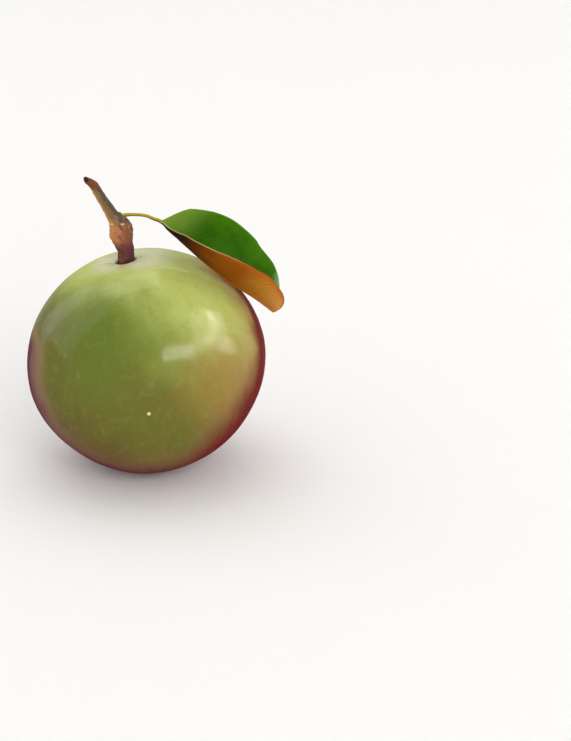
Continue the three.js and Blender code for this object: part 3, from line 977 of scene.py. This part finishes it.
# How far the side veins bend toward the tip, as a share of the blade, how wide they are, as a part of the
# step between two, and where they fade across and along the blade
VEIN_BEND = 0.03
VEIN_SPREAD = 0.13
VEINS_ACROSS = (0.97, 0.8)
VEINS_START = (0.02, 0.08)
VEINS_END = (0.99, 0.93)
EDGE_SQUARENESS = 6
RIB_SPREAD = 0.5 * MM
# The rib and the veins are sunk above and raised below, the rib by shares of its radius
RIB_SUNK = 0.45
RIB_RAISED = 1.1
VEINS_SUNK = 0.005 * MM
VEINS_RAISED = 0.010 * MM


def leaf_tree():
    tree, size = new_tree("leaf_growth", LEAF_SIZES)
    rings = STALK_RINGS + BLADE_RINGS
    sheet = {"Size X": 1.0, "Size Y": 1.0, "Vertices X": rings, "Vertices Y": LOOP_POINTS + 1}
    grid = node(tree, "GeometryNodeMeshGrid", named=sheet)
    u, v, _ = node(tree, "GeometryNodeInputPosition").parts()
    stalk_part = STALK_RINGS / (rings - 1)
    onward = (u + 0.5 - stalk_part) / (1 - stalk_part)
    share = (1 - (onward.above(0.0) * math.pi).cosine()) / 2
    before = (onward * (1 - stalk_part) / stalk_part).below(0.0)
    sweep = 1 - ((v + 0.5) * 4 - 2).size()
    side = sweep - (sweep * (2 * math.pi)).sine() * (SIDE_CROWDING / (2 * math.pi))
    under = v.by("GREATER_THAN", 0.0)
    for name, value in (("share", share + before), ("side", side), ("under", under)):
        grid = noted(tree, grid, name, value)

    recall = {name: recalled(tree, name) for name in ("share", "side", "under")}
    side, under = recall["side"], recall["under"]
    share = recall["share"].above(0.0)
    before = recall["share"].below(0.0)
    factor = size["Stalk share"] * (1 + before) + (1 - size["Stalk share"]) * share
    line = node(tree, "GeometryNodeMeshToCurve", size["Geometry"])
    sample = {"Curves": line, "Value": recalled(tree, "radius_here"), "Factor": factor}
    radius = node(tree, "GeometryNodeSampleCurve", named=sample, mode="FACTOR", use_all_curves=True)
    keel, along = (Value(tree, radius.socket.node.outputs[name]) for name in ("Position", "Tangent"))

    to_near = along.by("CROSS_PRODUCT", (0, 0, 1)).by("NORMALIZE")
    upright = to_near.by("CROSS_PRODUCT", along)
    degree = math.pi / 180
    near_lean = size["Near lean"] + size["Near opening"] * (share - size["Widest at"]) ** 2
    far_lean = size["Far lean at base"] + (size["Far lean at tip"] - size["Far lean at base"]) * share
    half = (near_lean + far_lean) * (degree / 2)
    tilt = (near_lean - far_lean) * (degree / 2)
    middle = upright * tilt.cosine() + to_near * tilt.sine()
    to_far = upright * tilt.sine() - to_near * tilt.cosine()

    oval = (share * (1 - share) * 4) ** size["Roundness"] * (1 + size["Base bias"] * (0.5 - share))
    width = ((size["Half width"] * oval) ** 2 + size["End width"] ** 2).root()
    wave = size["Margin wave"] * side**2 * oval * (share * size["Waves along"] * (2 * math.pi) + side).sine()
    out = width * side * half.sine()
    fold = (((width * side) ** 2 + size["Crease"] ** 2).root() - size["Crease"] / 2) * half.cosine()
    arch = -(size["Belly"] * width * (side.size() * math.pi).sine() ** 2)
    across = out - side.by("SIGN") * arch * half.cosine() + wave * half.cosine()
    blade = keel + to_far * across + middle * (fold + arch * half.sine() + wave * half.sine())

    layer = 1 - under * 2
    round_it = (1 - side * side).above(0.0).root()
    stalk = keel - to_near * (side * radius) + upright * (layer * round_it * radius)
    opened = 1 - (1 - share / size["Opened by"]).above(0.0) ** OPENING_EASE
    kept = (recall["share"] + 1).by("GREATER_THAN", AT_END) * (1 - recall["share"]).by("GREATER_THAN", AT_END)
    shape = moved(tree, grid, keel + (stalk - keel + (blade - stalk) * opened) * kept)

    slanted = share - side.size() * oval * size["Vein slant"] - side**2 * VEIN_BEND
    steps = slanted * size["Veins"] + side.by("GREATER_THAN", 0.0) * 0.5
    off_vein = (steps - steps.by("ROUND")).size()
    vein = off_vein.hump(0.0, VEIN_SPREAD) * side.size().between(*VEINS_ACROSS) * share.between(*VEINS_START)
    shape = noted(tree, shape, "vein", vein * share.between(*VEINS_END))
    vein = recalled(tree, "vein")
    edge = (1 - side**EDGE_SQUARENESS).above(0.0).root()
    from_rib = width * side
    rib = from_rib.hump(0.0, RIB_SPREAD) * radius * edge
    above = size["Thickness"] / 2 * edge - rib * RIB_SUNK - vein * VEINS_SUNK
    below = size["Thickness"] / 2 * edge + rib * RIB_RAISED + vein * VEINS_RAISED
    swell = (above + (below - above) * under) * opened * kept
    shape = moved(tree, shape, None, node(tree, "GeometryNodeInputNormal") * swell)
    shape = node(tree, "GeometryNodeMergeByDistance", shape, None, MERGED_WITHIN)
    is_below = recalled(tree, "under").by("GREATER_THAN", 0.5)
    end_tree(tree, shape, (leaf_above_material(), True), (leaf_below_material(), is_below))
    return tree


LEAF_STEPS = 600
points, radii, turning = smooth_path(LEAF_STALK + MIDRIB, LEAF_STEPS)
LEAF_SIZES = {
    "Stalk share": float(np.interp(len(LEAF_STALK), turning, np.linspace(0, 1, len(turning)))),
    "Half width": 17.4 * MM,
    "Thickness": 0.5 * MM,
    "Opened by": 0.08,
    "End width": 0.5 * MM,
    "Roundness": 0.46,
    "Base bias": 0.03,
    "Crease": 1.1 * MM,
    "Belly": 0.04,
    "Margin wave": 0.08 * MM,
    "Waves along": 3.5,
    "Near lean": 49,
    "Near opening": 44,
    "Widest at": 0.48,
    "Far lean at base": 44,
    "Far lean at tip": 6,
    "Veins": 26,
    "Vein slant": 0.16,
}
leaf = grow("leaf_blade", leaf_tree(), LEAF_SIZES, thread("leaf_line", points, radii))
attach(leaf, "root")
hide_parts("leaf")

# Surface and light
# A pale matt surface, a soft white room and window-like panels, placed so that their reflections lie on the
# skin where a window's would.

FLOOR_REACH = 3.6
FLOOR_CURVE = 1.4
WALL_HEIGHT = 3.0
FLOOR_SIDES = 96
FLAT_RINGS = [0.3, 1.2]
CURVE_RINGS = 17

# A flat middle that curves up into a round wall
bend = np.linspace(0, math.pi / 2, CURVE_RINGS)
out = np.concatenate([FLAT_RINGS, FLOOR_REACH + FLOOR_CURVE * np.sin(bend), [FLOOR_REACH + FLOOR_CURVE]])
high = np.concatenate([np.zeros(len(FLAT_RINGS)), FLOOR_CURVE * (1 - np.cos(bend)), [WALL_HEIGHT]])
turns = np.linspace(0, 2 * math.pi, FLOOR_SIDES, endpoint=False)
rings = [(r * math.cos(a), r * math.sin(a), z) for r, z in zip(out, high) for a in turns]
faces = []
for ring in range(len(out) - 1):
    for side in range(FLOOR_SIDES):
        inner, outer = ring * FLOOR_SIDES, (ring + 1) * FLOOR_SIDES
        onward = (side + 1) % FLOOR_SIDES
        faces.append((inner + side, inner + onward, outer + onward, outer + side))
floor_mesh = bpy.data.meshes.new("floor")
floor_mesh.from_pydata(rings, [], [list(range(FLOOR_SIDES)), *(face[::-1] for face in faces)])
floor_mesh.shade_smooth()
floor_mesh.materials.append(new_material("paper", Base_Color=paint("f4f3f1"), Roughness=0.9)[0])
floor = bpy.data.objects.new("floor", floor_mesh)
scene.collection.objects.link(floor)

# Strips of light that show as soft window reflections on the skin: the pixels where each strip's
# reflection starts and ends, its width in pixels, and its radiance
STRIP_DISTANCE = 2.0
STRIPS = {
    "window_side": ((190, 290), (206, 318), 9, 15.0),
    "window_side_foot": ((207, 314), (203, 340), 13, 9.0),
    "window_sill": ((165, 351), (193, 347), 12, 16.0),
    "window_sill_end": ((188, 344), (224, 342), 10, 7.0),
    "window_far": ((212, 348), (228, 344), 8, 8.0),
    "window_glow": ((194, 306), (208, 341), 40, 6.0),
    "left_wall": ((45, 332), (94, 286), 30, 1.9),
    "left_wall_glow": ((56, 340), (108, 290), 66, 2.2),
    "top_glow": ((112, 289), (188, 275), 34, 4.6),
}
# Softboxes that light the scene: place, size and radiance
SOFTBOXES = {
    "overhead": ((-0.8, 1.4, 5.0), 4.8, 0.75),
    "front": ((1.7, -4.0, 2.2), 2.6, 4.3),
}


def mirrored(pixel):
    """A point of a ball of the fruit's size that shows at a pixel, and what shows mirrored in it."""
    focal = LENS / SENSOR * PICTURE[1]
    ray = LOOKING * focal + RIGHTWARD * (pixel[0] - PICTURE[0] / 2) - UPWARD * (pixel[1] - PICTURE[1] / 2)
    ray.normalize()
    to_middle = FRUIT_MIDDLE - camera.location
    along = ray.dot(to_middle)
    radius = (ACROSS + UP) / 2
    depth = along - math.sqrt(radius**2 - (to_middle.length_squared - along**2))
    point = camera.location + ray * depth
    return point, point + ray.reflect((point - FRUIT_MIDDLE).normalized()) * STRIP_DISTANCE


def area_light(name, place, toward, long_way, width, length, radiance, gloss):
    """A soft light that shows in glossy surfaces, or else lights matt ones."""
    lamp = bpy.data.lights.new(name, "AREA")
    lamp.shape = "RECTANGLE"
    lamp.size, lamp.size_y = width, length
    lamp.energy = radiance * math.pi * width * length
    stand = bpy.data.objects.new(name, lamp)
    backward = (place - toward).normalized()
    sideways = long_way.cross(backward).normalized()
    turned = Matrix((sideways, backward.cross(sideways), backward)).transposed()
    stand.matrix_world = Matrix.Translation(place) @ turned.to_4x4()
    stand.visible_glossy = gloss
    stand.visible_diffuse = not gloss
    stand.visible_camera = False
    scene.collection.objects.link(stand)


for name, (start, end, pixels_wide, radiance) in STRIPS.items():
    (near_start, far_start), (near_end, far_end) = mirrored(start), mirrored(end)
    length = (far_end - far_start).length
    width = length * pixels_wide / math.dist(start, end)
    middle, toward = (far_start + far_end) / 2, (near_start + near_end) / 2
    area_light(name, middle, toward, far_end - far_start, width, length, radiance, True)
for name, (place, width, radiance) in SOFTBOXES.items():
    area_light(name, Vector(place), FRUIT_MIDDLE, RIGHTWARD, width, width, radiance, False)

ROOM_LIGHT = 0.66
world = bpy.data.worlds.new("room")
world.use_nodes = True
background = world.node_tree.nodes["Background"].inputs
background["Color"].default_value = (1.0, 1.0, 1.0, 1.0)
background["Strength"].default_value = ROOM_LIGHT
scene.world = world
scene.view_settings.view_transform = "Standard"
